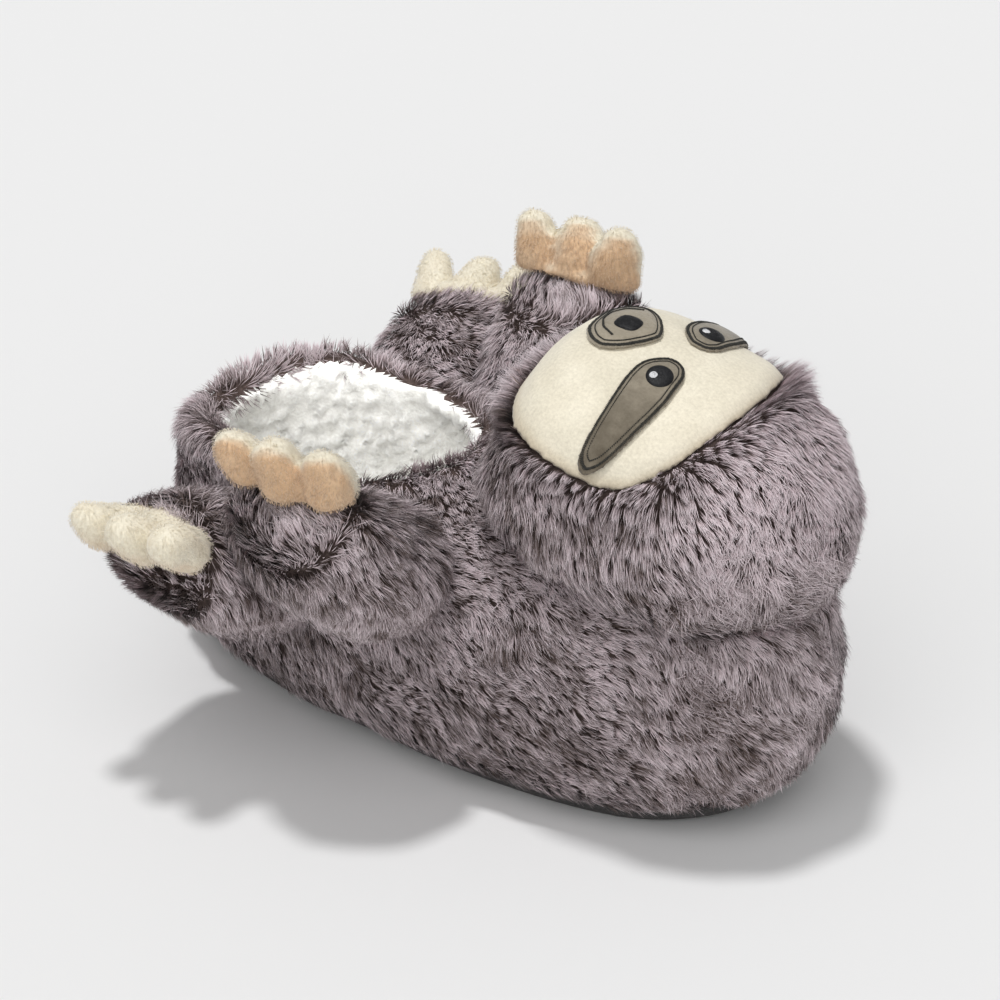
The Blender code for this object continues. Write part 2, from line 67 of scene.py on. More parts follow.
# Camera of the photograph
VIEW_AZIMUTH, VIEW_ELEVATION = 33.0, 31.0
VIEW_DISTANCE = 1.7
VIEW_TARGET = (0.0, 0.0, 0.084)
VIEW_LENS = 176.6

# Inside of the shoe: what faces this line is lining, what faces away is fur
INNER_LINE = ((-0.105, 0.0, 0.045), (0.095, 0.0, 0.045))
LINING_STARTS = -0.02

# Head axes, which the face's features are placed in: x to the crown, y to the left, along the face
HEAD_MIDDLE = (0.0707, 0.0, 0.1050)
HEAD_PITCH = 14.0
FACE_MIDDLE = (0.0560, 0.0, 0.1650)

# Soft creases of the padded side, mirrored on both sides: start, end, width and depth
CREASES = (((-0.030, 0.066, 0.062), (0.052, 0.076, 0.028), 7.0 * MM, 2.8 * MM),
           ((0.048, 0.072, 0.060), (0.118, 0.062, 0.030), 7.0 * MM, 2.2 * MM),
           ((0.000, 0.070, 0.045), (0.080, 0.078, 0.045), 9.0 * MM, -1.6 * MM),
           ((-0.118, 0.034, 0.060), (-0.060, 0.060, 0.030), 8.0 * MM, 2.0 * MM))

# Pile
SKIN_DEPTH = 2.4 * MM     # the fabric lies this deep under the CAD's tufts
CLUMP = 3.6 * MM          # size of a tuft
LID_REACH = 7.0 * MM      # pile this near under the face panel is left out
BODY_HAIR = (7.8 * MM, 0.35 * MM)      # length and width
HEAD_HAIR = (8.0 * MM, 0.35 * MM)
LIMB_HAIR = (7.8 * MM, 0.35 * MM)
CLAW_HAIR = (1.5 * MM, 0.25 * MM)
# Triangles of each piece of fur; a hair has two. The right side, which the photograph shows, has more.
BUDGETS = {"body_right": 184000, "body_left": 148000, "head": 216000, "arm_right": 80000, "arm_left": 62000,
           "leg_right": 54000, "leg_left": 46000, "claws": 12000}

# The arms' claws: how far their tips are lowered, and the share that is kept of their height under the tips.
# This raises their roots off the arm's fabric, and only the pile is left between the two.
ARM_CLAW_SINK = 2.0 * MM
ARM_CLAW_SHARE = 0.76

# Painted shade on the arms' claws, by the side that they turn this way
# The arms' claws are beige where they face this way: to the right and down, as in the photograph's shade
PAINTED_SHADE_SIDE = (0.35, -0.75, -0.45)

# Curls of the sherpa
CURL = 5.2 * MM
CURL_EDGE = 2.4 * MM


# Numbers per point

def hashed(cells, seed):
    """Value from 0 to 1 for whole-number cells, the same on every run."""
    c = cells.astype(np.int64).astype(np.uint32)
    h = c[..., 0] * np.uint32(73856093) ^ c[..., 1] * np.uint32(19349663) ^ c[..., 2] * np.uint32(83492791)
    h = h ^ np.uint32((seed * 2654435761) & 0xFFFFFFFF)
    h = (h ^ (h >> np.uint32(15))) * np.uint32(2246822519)
    h = (h ^ (h >> np.uint32(13))) * np.uint32(3266489917)
    h = h ^ (h >> np.uint32(16))
    return (h & np.uint32(0xFFFFFF)).astype(float) / float(0x1000000)


def noise3(points, size, seed):
    """Smooth noise from 0 to 1 at points."""
    p = points / size
    base = np.floor(p)
    f = p - base
    f = f * f * (3.0 - 2.0 * f)
    total = np.zeros(len(points))
    for corner in itertools.product((0, 1), repeat=3):
        weight = np.ones(len(points))
        for axis in range(3):
            weight *= f[:, axis] if corner[axis] else 1.0 - f[:, axis]
        total += weight * hashed(base + np.array(corner), seed)
    return total


def cells3(points, size, seed):
    """Nearest jittered cell point, a value that is the same in its cell, and the two distances."""
    base = np.floor(points / size)
    near = np.full(len(points), 1e9)
    second = np.full(len(points), 1e9)
    place = np.zeros_like(points)
    value = np.zeros(len(points))
    for offset in itertools.product((-1, 0, 1), repeat=3):
        cell = base + np.array(offset)
        jitter = np.stack([hashed(cell, seed + k) for k in range(3)], axis=1)
        centre = (cell + jitter) * size
        distance = np.linalg.norm(centre - points, axis=1)
        closer = distance < near
        second = np.where(closer, near, np.minimum(second, distance))
        near = np.where(closer, distance, near)
        place[closer] = centre[closer]
        value[closer] = hashed(cell, seed + 7)[closer]
    return place, value, near, second


def unit(v):
    v = np.asarray(v, float)
    return v / np.maximum(np.linalg.norm(v, axis=-1, keepdims=True), 1e-12)


def ramp(value, low, high):
    t = np.clip((value - low) / (high - low), 0.0, 1.0)
    return t * t * (3.0 - 2.0 * t)


def tangent(vectors, normals):
    """Part of the vectors that lies in the surface."""
    return vectors - normals * np.sum(vectors * normals, axis=1, keepdims=True)


# Meshes

def arrays(thing):
    """Vertices, triangles and vertex normals of an object's mesh."""
    mesh = thing.data
    mesh.calc_loop_triangles()
    verts = np.empty(len(mesh.vertices) * 3)
    mesh.vertices.foreach_get("co", verts)
    verts = verts.reshape(-1, 3)
    faces = np.empty(len(mesh.loop_triangles) * 3, dtype=np.int64)
    mesh.loop_triangles.foreach_get("vertices", faces)
    faces = faces.reshape(-1, 3)
    return verts, faces, vertex_normals(verts, faces)


def vertex_normals(verts, faces):
    cross = np.cross(verts[faces[:, 1]] - verts[faces[:, 0]], verts[faces[:, 2]] - verts[faces[:, 0]])
    normals = np.zeros_like(verts)
    for k in range(3):
        np.add.at(normals, faces[:, k], cross)
    return unit(normals)


def mesh_piece(name, verts, faces, material, uv=None, normals=None, body="root"):
    """Piece of triangles or quads from arrays, riding on a body."""
    mesh = bpy.data.meshes.new(name)
    mesh.vertices.add(len(verts))
    mesh.vertices.foreach_set("co", np.asarray(verts, dtype=np.float32).ravel())
    mesh.loops.add(faces.size)
    mesh.loops.foreach_set("vertex_index", faces.astype(np.int32).ravel())
    mesh.polygons.add(len(faces))
    mesh.polygons.foreach_set("loop_start", np.arange(0, faces.size, faces.shape[1], dtype=np.int32))
    mesh.update(calc_edges=True)
    mesh.polygons.foreach_set("use_smooth", np.ones(len(faces), dtype=bool))
    if uv is not None:
        layer = mesh.uv_layers.new(name="OFBake")
        layer.data.foreach_set("uv", np.asarray(uv, dtype=np.float32)[faces.ravel()].ravel())
    if normals is not None:
        mesh.normals_split_custom_set_from_vertices(np.asarray(normals, dtype=np.float32))
    thing = bpy.data.objects.new(name, mesh)
    bpy.context.scene.collection.objects.link(thing)
    mesh.materials.append(material)
    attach(thing, body)
    return thing


def copy_node(node, name):
    thing = nodes[node].copy()
    thing.data = nodes[node].data.copy()
    thing.name = name
    for key in [k for k in thing.keys() if k.startswith("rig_")]:
        del thing[key]
    thing.hide_render = False
    thing.hide_viewport = False
    bpy.context.scene.collection.objects.link(thing)
    return thing


def applied(thing):
    """Bake the modifiers of an object into its mesh."""
    graph = bpy.context.evaluated_depsgraph_get()
    mesh = bpy.data.meshes.new_from_object(thing.evaluated_get(graph))
    thing.modifiers.clear()
    old = thing.data
    thing.data = mesh
    bpy.data.meshes.remove(old)
    return thing


def remeshed(node, voxel, relax, iterations):
    """Even, smoothed triangles over a CAD node: vertices, faces, normals."""
    thing = copy_node(node, node + "_even")
    step = thing.modifiers.new("even", "REMESH")
    step.mode = "VOXEL"
    step.voxel_size = voxel
    step.adaptivity = 0.0
    if iterations:
        step = thing.modifiers.new("relax", "SMOOTH")
        step.factor = relax
        step.iterations = iterations
    applied(thing)
    found = arrays(thing)
    bpy.data.objects.remove(thing, do_unlink=True)
    return found


def stuffed(node, voxel, shrink, cap, relax=8):
    """Fabric over stuffing: the CAD solid, shrunk, blown up by cloth pressure and held within cap."""
    verts, faces, normals = remeshed(node, voxel, 0.5, relax)
    small = verts - normals * shrink
    mesh = bpy.data.meshes.new(node + "_cloth")
    mesh.from_pydata(small.tolist(), [], faces.tolist())
    thing = bpy.data.objects.new(node + "_cloth", mesh)
    bpy.context.scene.collection.objects.link(thing)
    cloth = thing.modifiers.new("cloth", "CLOTH")
    cloth.settings.quality = 4
    cloth.settings.mass = 0.2
    cloth.settings.tension_stiffness = 12.0
    cloth.settings.compression_stiffness = 12.0
    cloth.settings.bending_stiffness = 0.6
    cloth.settings.use_pressure = True
    cloth.settings.uniform_pressure_force = 4.0
    cloth.settings.effector_weights.gravity = 0.0
    cloth.collision_settings.use_collision = False
    cloth.point_cache.frame_start = 1
    cloth.point_cache.frame_end = 20
    for step in range(1, 21):
        bpy.context.scene.frame_set(step)
    applied(thing)
    blown = arrays(thing)[0]
    bpy.data.objects.remove(thing, do_unlink=True)
    bpy.context.scene.frame_set(1)
    move = blown - small
    reach = np.linalg.norm(move, axis=1, keepdims=True)
    blown = small + move * np.minimum(1.0, cap / np.maximum(reach, 1e-9))
    return blown, faces, vertex_normals(blown, faces)


def tree_of(node):
    verts, faces, _ = arrays(nodes[node])
    return BVHTree.FromPolygons(verts.tolist(), faces.tolist())


def depth_in(tree, points):
    """How deep each point lies in a closed solid; negative outside."""
    out = np.full(len(points), -1.0)
    for i, p in enumerate(points):
        place, normal, _, distance = tree.find_nearest(Vector(p), 0.02)
        if place is not None:
            out[i] = distance if (Vector(p) - place).dot(normal) < 0 else -distance
    return out


def enclosed(tree, point):
    """Whether a point lies in a closed solid, by the surfaces that a line from it crosses."""
    along = Vector((0.31, 0.17, 0.93)).normalized()
    at, crossed = Vector(point), 0
    while crossed < 20:
        place = tree.ray_cast(at, along)[0]
        if place is None:
            break
        crossed += 1
        at = place + along * 1e-5
    return crossed % 2 == 1


def creased(points, normals, creases):
    """Points moved along their normals by soft troughs (and ridges, where the depth is negative)."""
    moved = np.array(points)
    for start, end, width, depth in creases:
        for side in (1.0, -1.0):
            a, b = np.array(start) * (1.0, side, 1.0), np.array(end) * (1.0, side, 1.0)
            share = np.clip((points - a) @ (b - a) / np.dot(b - a, b - a), 0.0, 1.0)
            away = np.linalg.norm(points - a - share[:, None] * (b - a), axis=1)
            fade = np.sin(math.pi * (0.12 + 0.76 * share))
            moved -= normals * (depth * fade * np.exp(-(away / width) ** 2))[:, None]
    return moved


def innerness(points, normals):
    """1 where a surface faces the inside of the shoe, -1 where it faces away."""
    low, high = np.array(INNER_LINE[0]), np.array(INNER_LINE[1])
    share = np.clip((points - low) @ (high - low) / np.dot(high - low, high - low), 0.0, 1.0)
    inward = unit(low + share[:, None] * (high - low) - points)
    return np.sum(inward * normals, axis=1)


# Materials

def make_material(name):
    mat = bpy.data.materials.new(name)
    mat.use_nodes = True
    tree = mat.node_tree
    return mat, tree, tree.nodes["Principled BSDF"]


def add(tree, kind, **values):
    node = tree.nodes.new(kind)
    for key, value in values.items():
        if key in node.inputs:
            node.inputs[key].default_value = value
        else:
            setattr(node, key, value)
    return node


def set_ramp(node, stops):
    """Colours of a ramp, as (place, rgb) with linear values."""
    ramp_data = node.color_ramp
    while len(ramp_data.elements) < len(stops):
        ramp_data.elements.new(0.5)
    for element, (place, rgb) in zip(ramp_data.elements, stops):
        element.position = place
        element.color = (rgb[0], rgb[1], rgb[2], 1.0)


def mix(tree, factor, a, b, kind="MIX"):
    node = tree.nodes.new("ShaderNodeMix")
    node.data_type = "RGBA"
    node.blend_type = kind
    for socket, value in ((node.inputs[0], factor), (node.inputs[6], a), (node.inputs[7], b)):
        if isinstance(value, bpy.types.NodeSocket):
            tree.links.new(value, socket)
        elif isinstance(value, (int, float)):
            socket.default_value = value
        else:
            socket.default_value = (value[0], value[1], value[2], 1.0)
    return node.outputs[2]


def pile_material(name, dark, light):
    """Pile whose UV holds tone across and root to tip upward; dark and light are ramps of it."""
    mat, tree, shader = make_material(name)
    uv = add(tree, "ShaderNodeUVMap", uv_map="OFBake")
    split = add(tree, "ShaderNodeSeparateXYZ")
    tree.links.new(uv.outputs[0], split.inputs[0])
    ramps = []
    for stops in (dark, light):
        node = add(tree, "ShaderNodeValToRGB")
        set_ramp(node, stops)
        tree.links.new(split.outputs[1], node.inputs[0])
        ramps.append(node.outputs[0])
    colour = mix(tree, split.outputs[0], ramps[0], ramps[1])
    tree.links.new(colour, shader.inputs["Base Color"])
    shader.inputs["Roughness"].default_value = 0.62
    shader.inputs["Specular IOR Level"].default_value = 0.18
    shader.inputs["Sheen Weight"].default_value = 0.12
    shader.inputs["Sheen Roughness"].default_value = 0.4
    return mat


def velboa_material(name, attribute, low, high, bump=0.25, scale=900.0, sheen=0.35):
    """Short pile; the attribute runs from the low colour to the high one."""
    mat, tree, shader = make_material(name)
    tint = add(tree, "ShaderNodeAttribute", attribute_name=attribute)
    place = add(tree, "ShaderNodeTexCoord")
    fine = add(tree, "ShaderNodeTexNoise", Scale=scale, Detail=3.0, Roughness=0.6)
    broad = add(tree, "ShaderNodeTexNoise", Scale=70.0, Detail=3.0, Roughness=0.55)
    for node in (fine, broad):
        tree.links.new(place.outputs["Object"], node.inputs["Vector"])
    base = mix(tree, tint.outputs["Fac"], low, high)
    shade = add(tree, "ShaderNodeValToRGB")
    set_ramp(shade, ((0.25, (0.84, 0.83, 0.81)), (0.75, (1.06, 1.06, 1.06))))
    tree.links.new(fine.outputs[0], shade.inputs[0])
    grain = mix(tree, 1.0, base, shade.outputs[0], "MULTIPLY")
    cloud = add(tree, "ShaderNodeValToRGB")
    set_ramp(cloud, ((0.3, (0.93, 0.93, 0.92)), (0.7, (1.03, 1.03, 1.03))))
    tree.links.new(broad.outputs[0], cloud.inputs[0])
    colour = mix(tree, 1.0, grain, cloud.outputs[0], "MULTIPLY")
    tree.links.new(colour, shader.inputs["Base Color"])
    relief = add(tree, "ShaderNodeBump", Strength=bump, Distance=0.0006)
    tree.links.new(fine.outputs[0], relief.inputs["Height"])
    tree.links.new(relief.outputs[0], shader.inputs["Normal"])
    shader.inputs["Roughness"].default_value = 0.85
    shader.inputs["Specular IOR Level"].default_value = 0.12
    shader.inputs["Sheen Weight"].default_value = sheen
    shader.inputs["Sheen Roughness"].default_value = 0.45
    return mat


def plain_cloth(name, low, high, scale, roughness=0.9, bump=0.4, distance=0.0005):
    """Cloth or foam whose colour and relief come from fine noise."""
    mat, tree, shader = make_material(name)
    place = add(tree, "ShaderNodeTexCoord")
    fine = add(tree, "ShaderNodeTexNoise", Scale=scale, Detail=4.0, Roughness=0.6)
    tree.links.new(place.outputs["Object"], fine.inputs["Vector"])
    shade = add(tree, "ShaderNodeValToRGB")
    set_ramp(shade, ((0.3, low), (0.7, high)))
    tree.links.new(fine.outputs[0], shade.inputs[0])
    tree.links.new(shade.outputs[0], shader.inputs["Base Color"])
    relief = add(tree, "ShaderNodeBump", Strength=bump, Distance=distance)
    tree.links.new(fine.outputs[0], relief.inputs["Height"])
    tree.links.new(relief.outputs[0], shader.inputs["Normal"])
    shader.inputs["Roughness"].default_value = roughness
    shader.inputs["Specular IOR Level"].default_value = 0.2
    return mat


FUR_DARK = ((0.0, (0.013, 0.008, 0.006)), (0.40, (0.040, 0.025, 0.019)), (0.72, (0.098, 0.066, 0.055)),
            (1.0, (0.21, 0.150, 0.138)))
FUR_LIGHT = ((0.0, (0.040, 0.026, 0.022)), (0.28, (0.20, 0.142, 0.137)), (0.52, (0.68, 0.560, 0.585)),
             (1.0, (0.99, 0.89, 0.93)))
# On the claws' fuzz, CREAM_LOW is the painted shade of their shaded sides and CREAM_HIGH their cream
CREAM_LOW = ((0.0, (0.52, 0.35, 0.22)), (0.5, (0.68, 0.48, 0.32)), (0.8, (0.78, 0.57, 0.39)),
             (1.0, (0.84, 0.64, 0.46)))
CREAM_HIGH = ((0.0, (0.78, 0.71, 0.55)), (0.5, (0.92, 0.85, 0.69)), (0.8, (0.96, 0.90, 0.76)),
              (1.0, (0.98, 0.94, 0.82)))
fur_pile = pile_material("faux_fur_pile", FUR_DARK, FUR_LIGHT)
cream_pile = pile_material("cream_velboa_pile", CREAM_LOW, CREAM_HIGH)
fur_skin = plain_cloth("faux_fur_backing", (0.044, 0.030, 0.025), (0.12, 0.086, 0.078), 700.0)
# CREAM_SHADE is the face's painted shade, laid along the seam of its panel
CREAM, CREAM_SHADE = (0.93, 0.87, 0.72), (0.74, 0.65, 0.49)
# The beige is painted shade, for the claws' sides that face down and, on the arms, to the right
CLAW_SHADE_BEIGE = (0.78, 0.54, 0.34)
face_cloth = velboa_material("cream_velboa_face", "tint", CREAM_SHADE, CREAM, bump=0.2)
claw_cloth = velboa_material("cream_velboa_claws", "tint", CLAW_SHADE_BEIGE, (0.95, 0.89, 0.74), bump=0.5, scale=700.0)
patch_cloth = velboa_material("taupe_velboa_patch", "tint", (0.060, 0.045, 0.028), (0.42, 0.37, 0.29),
                              bump=0.6, sheen=0.5)
# The sherpa's colours reach just over 1: painted light that makes the lining brighter than white cloth
sherpa_cloth = velboa_material("sherpa_curls", "tint", (0.99, 0.98, 0.94), (1.04, 1.04, 1.02), bump=0.7,
                               scale=800.0, sheen=0.9)
thread_dark = plain_cloth("stitching_charcoal", (0.020, 0.020, 0.018), (0.060, 0.058, 0.050), 1500.0, 0.55)
thread_black = plain_cloth("stitching_black", (0.004, 0.004, 0.005), (0.022, 0.022, 0.024), 1500.0, 0.4)
thread_white = plain_cloth("stitching_white", (0.62, 0.62, 0.64), (0.85, 0.85, 0.86), 1500.0, 0.45)
sole_foam = plain_cloth("sole_foam_grey", (0.045, 0.043, 0.043), (0.10, 0.096, 0.095), 1200.0, 0.75)


# Fur

def grow(name, skin, weight, flow, budget, size, tone, seed, lift=(0.95, 0.30), clump=0.8,
         wander=0.55, upright=None, material=None, lid=None):
    """Blades of pile over a skin, weighted per face.

    flow and tone are functions of roots and normals, upright is the stance per vertex, and no hair grows
    where the solid named by lid lies close above.
    """
    rng = np.random.default_rng(seed)
    length, width = size
    verts, faces, normals = skin
    corner = verts[faces]
    area = 0.5 * np.linalg.norm(np.cross(corner[:, 1] - corner[:, 0], corner[:, 2] - corner[:, 0]), axis=1)
    share = area * weight
    count = budget // 2
    pick = rng.choice(len(faces), size=count, p=share / share.sum())
    a, b = rng.random(count), rng.random(count)
    flip = a + b > 1.0
    a[flip], b[flip] = 1.0 - a[flip], 1.0 - b[flip]
    bary = np.stack([1.0 - a - b, a, b], axis=1)
    root = np.einsum("ij,ijk->ik", bary, verts[faces[pick]])
    normal = unit(np.einsum("ij,ijk->ik", bary, normals[faces[pick]]))
    if lid is not None:
        clear = np.array([trees[lid].ray_cast(Vector(p), Vector(n), LID_REACH)[0] is None
                          for p, n in zip(root, normal)])
        root, normal, pick, bary = root[clear], normal[clear], pick[clear], bary[clear]
        count = len(root)
    along = flow(root, normal)
    stand = np.zeros(count) if upright is None else np.einsum("ij,ij->i", bary, upright[faces[pick]])
    swirl = np.stack([noise3(root, 0.017, seed + 11 + k) - 0.5 for k in range(3)], axis=1)
    fine = np.stack([noise3(root, 0.0055, seed + 21 + k) - 0.5 for k in range(3)], axis=1)
    along = unit(tangent(along + wander * 2.2 * swirl + wander * 1.5 * fine
                         + 0.16 * rng.normal(size=(count, 3)), normal))
    rise = lift[0] * (0.75 + 0.5 * noise3(root, 0.012, seed + 31)) + 0.12 * rng.normal(size=count)
    rise = rise + 2.2 * stand
    reach = length * (0.78 + 0.35 * rng.random(count)) * (0.82 + 0.36 * noise3(root, 0.010, seed + 41))
    reach = reach * (1.0 + 0.35 * stand)
    first = unit(along + normal * np.maximum(rise, 0.15)[:, None])
    second = unit(along + normal * (lift[1] + 0.14 * rng.normal(size=count) + 1.5 * stand)[:, None])
    middle = root + first * (0.5 * reach)[:, None]
    tip = middle + second * (0.5 * reach)[:, None]
    centre, cell_value, _, _ = cells3(root, CLUMP, seed + 51)
    gather = tangent(centre - root, normal)
    strength = clump * (0.6 + 0.8 * rng.random(count))[:, None]
    middle += gather * strength * 0.45
    tip += gather * strength
    side = unit(np.cross(second, normal) + 0.35 * rng.normal(size=(count, 1)) * normal)
    half = (0.5 * width * (0.7 + 0.6 * rng.random(count)))[:, None]
    points = np.concatenate([root, middle - side * half, middle + side * half, tip])
    n = np.arange(count)
    triangles = np.concatenate([np.stack([n, n + count, n + 2 * count], axis=1),
                                np.stack([n + count, n + 3 * count, n + 2 * count], axis=1)])
    face_normal = np.cross(points[triangles[:, 1]] - points[triangles[:, 0]],
                           points[triangles[:, 2]] - points[triangles[:, 0]])
    turned = np.sum(face_normal * np.concatenate([normal, normal]), axis=1) < 0
    triangles[turned] = triangles[turned][:, ::-1]
    shade = tone(root, normal, cell_value, rng)
    # Painted light: hairs that stand up get a lighter tone, against the shade at the face's seam and round
    # the claws
    shade = np.clip(shade + 0.30 * stand, 0.03, 0.97)
    step = 0.012
    u = np.concatenate([shade, shade - step, shade + step, shade])
    v = np.concatenate([np.zeros(count), np.full(count, 0.5), np.full(count, 0.5), np.ones(count)])
    round_normal = unit(normal + 0.35 * np.cross(side, second))
    lit = np.concatenate([round_normal, unit(round_normal - 0.5 * side), unit(round_normal + 0.5 * side),
                          round_normal])
    piece = mesh_piece(name, points, triangles, material or fur_pile, np.stack([u, v], axis=1), lit)
    return piece


def body_flow(points, normals):
    """To the toe and down along the sides, outward over the rim."""
    base = np.tile(np.array([1.0, 0.0, -0.42]), (len(points), 1))
    base[:, 2] -= 0.9 * ramp(points[:, 0], 0.07, 0.13)
    outward = unit((points - np.array([-0.060, 0.0, 0.0])) * np.array([0.6, 1.0, 0.0]))
    rim = (ramp(points[:, 2], 0.076, 0.094) * ramp(-points[:, 0], -0.03, 0.01))[:, None]
    return unit(base * (1.0 - rim) + (outward * 0.9 + np.array([0.25, 0.0, -0.35])) * rim)


def head_flow(points, normals):
    """Away from the face, and back to the crown."""
    away = unit(points - np.array(FACE_MIDDLE))
    return unit(away * 0.8 + np.array([0.75, 0.0, -0.45]))


def limb_flow(end, points):
    """Down the limb, but up to the claws beside them."""
    near = ramp(np.linalg.norm(points - end, axis=1), 0.016, 0.034)[:, None]
    down = np.array([0.55, 0.0, -1.0])
    up = unit(end - points) * 0.4 + np.array([0.0, 0.0, 0.8])
    return unit(down * near + up * (1.0 - near))


def mottled(points, seed, low, high):
    """Patches of darker and lighter pile, from -0.5 to 0.5."""
    broad = noise3(points, low, seed)
    small = noise3(points, high, seed + 1)
    return 0.40 * (broad - 0.5) + 0.60 * (small - 0.5)


def streaks(cell_value, rng, spread=0.27):
    """Tone of a tuft and of each hair in it; some hairs stay dark to the tip."""
    count = len(cell_value)
    dark = (rng.random(count) < 0.16) * rng.random(count) * 0.45
    return 0.42 * (cell_value - 0.5) + spread * rng.normal(size=count) - dark


def body_tone(points, normals, cell_value, rng):
    # Lighter higher up, and painted light on faces that look up
    base = 0.47 + 0.22 * ramp(points[:, 2], 0.02, 0.09) + 0.04 * normals[:, 2]
    return base + 1.35 * mottled(points, 301, 0.010, 0.0032) + streaks(cell_value, rng)


def head_tone(points, normals, cell_value, rng):
    """Tone of the head's pile, with painted light: lightest at the crown, and lighter on faces that look up.
    """
    crown = ramp(points[:, 0], 0.07, 0.13) * ramp(points[:, 2], 0.10, 0.14)
    base = 0.58 + 0.95 * crown + 0.06 * normals[:, 2]
    return base + 1.35 * mottled(points, 401, 0.010, 0.0032) + streaks(cell_value, rng)


def limb_tone(points, normals, cell_value, rng):
    """Tone of the limbs' pile, with painted light: lighter on the left limbs and on faces that look up."""
    base = 0.50 + 0.05 * normals[:, 2] + 0.22 * ramp(points[:, 1], -0.02, 0.03)
    return base + 1.35 * mottled(points, 501, 0.010, 0.0032) + streaks(cell_value, rng)


def uncovered(skin, covers, offset, deep):
    """1 for faces that no other solid covers, 0 for those that lie deep in one."""
    verts, faces, normals = skin
    centre = verts[faces].mean(axis=1)
    outward = unit(normals[faces].mean(axis=1))
    keep = np.ones(len(faces))
    for node in covers:
        for i in np.nonzero(depth_in(trees[node], centre + outward * offset) > deep)[0]:
            if enclosed(trees[node], centre[i] + outward[i] * offset):
                keep[i] = 0.0
    return keep


trees = {name: tree_of(name) for name in nodes}
LIMBS = ("arm_right", "arm_left", "leg_right", "leg_left")


def curled(verts, seed):
    """Height of the sherpa's curls at points, and their tint: painted shade in the hollows between the curls,
    with random tone.
    """
    _, _, near, second = cells3(verts, CURL, seed)
    curl = ramp(second - near, 0.0, CURL_EDGE) * (0.7 + 0.6 * noise3(verts, 9.0 * MM, seed + 1))
    small_curl = noise3(verts, 2.0 * MM, seed + 2)
    return (0.2 + 2.4 * curl + 0.5 * small_curl) * MM, 0.30 + 0.55 * curl + 0.35 * small_curl


# The upper's fabric: backing under the pile outside, sherpa inside, as one closed shell
verts, faces, normals = remeshed("upper", 2.4 * MM, 0.5, 5)
inside = innerness(verts, normals)
lining = ramp(inside, LINING_STARTS - 0.20, LINING_STARTS + 0.20)
# The curls' tint is painted shade in the hollows between them, with random tone
curls, curl_shade = curled(verts, 61)
rise = lining * curls - (1.0 - lining) * SKIN_DEPTH
shell = creased(verts, normals * (1.0 - lining)[:, None], CREASES) + normals * rise[:, None]
upper_shell = mesh_piece("upper_shell", shell, faces, fur_skin)
upper_shell.data.materials.append(sherpa_cloth)
slots = (lining[faces].mean(axis=1) > 0.5).astype(np.int32)
upper_shell.data.polygons.foreach_set("material_index", slots)
tint = upper_shell.data.attributes.new("tint", "FLOAT", "POINT")
tint.data.foreach_set("value", np.clip(curl_shade, 0.0, 1.0))
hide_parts("upper")

verts, faces, normals = remeshed("upper", 3.0 * MM, 0.5, 8)
body_skin = (creased(verts, normals, CREASES) - normals * SKIN_DEPTH, faces, normals)
face_inside = innerness(verts, normals)[faces].mean(axis=1)
face_normal = normals[faces].mean(axis=1)
body_weight = uncovered(body_skin, ("head",) + LIMBS, 3.2 * MM, 9.5 * MM)
body_weight *= (face_inside < LINING_STARTS + 0.11) * (face_normal[:, 2] > -0.80)
middle_y = verts[faces].mean(axis=1)[:, 1]
for name, half, seed in (("fur_body_right", middle_y <= 0.0, 101), ("fur_body_left", middle_y > 0.0, 102)):
    budget = BUDGETS[name.replace("fur_", "")]
    grow(name, body_skin, body_weight * half, body_flow, budget, BODY_HAIR, body_tone, seed)

# The head
head_skin = stuffed("head", 4.5 * MM, 2.6 * MM, 1.6 * MM)
head_backing = mesh_piece("head_backing", head_skin[0], head_skin[1], fur_skin)
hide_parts("head")
verts, faces, normals = head_skin
head_weight = uncovered(head_skin, ("upper",), 2.4 * MM, 9.0 * MM)
seam = np.array([trees["face_panel"].find_nearest(Vector(p))[3] for p in verts])
head_weight *= 1.0 + 0.9 * (1.0 - ramp(seam[faces].mean(axis=1), 3.0 * MM, 9.0 * MM))
grow("fur_head", head_skin, head_weight, head_flow, BUDGETS["head"], HEAD_HAIR, head_tone, 103,
     upright=1.0 - ramp(seam, 2.0 * MM, 8.0 * MM), lid="face_panel")

# The limbs
for limb in LIMBS:
    skin = stuffed(limb, 3.5 * MM, 3.0 * MM, 1.6 * MM)
    backing = mesh_piece(limb + "_backing", skin[0], skin[1], fur_skin)
    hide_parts(limb)
    kind, side_word = limb.split("_")
    claws_node = kind + "_claws_" + side_word
    low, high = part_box(claws_node)
    end = np.array((low + high) * 0.5) - np.array([0.0, 0.0, 0.010])
    covers = ("upper", "head" if kind == "arm" else "arm_" + side_word)
    weight = uncovered(skin, covers, 2.6 * MM, 9.0 * MM)
    upright = 1.0 - ramp(np.linalg.norm(skin[0] - end, axis=1), 0.016, 0.030)
    upright *= 0.35
    grow("fur_" + limb, skin, weight, lambda p, n, end=end: limb_flow(end, p), BUDGETS[limb], LIMB_HAIR,
         limb_tone, 110 + LIMBS.index(limb), upright=upright)


# Short pile pieces

def tinted(piece, values):
    layer = piece.data.attributes.new("tint", "FLOAT", "POINT")
    layer.data.foreach_set("value", np.clip(values, 0.0, 1.0).astype(np.float32))
    return piece


def claw_shade_tint(normals, arm):
    """1 is cream and 0 is beige, a painted shade: by one side of the arms' claws, and below on the legs'
    claws.
    """
    if arm:
        return 1.0 - ramp(normals @ unit(np.array(PAINTED_SHADE_SIDE)), -0.15, 0.55)
    return 1.0 - 0.4 * ramp(-normals[:, 2], 0.1, 0.8)


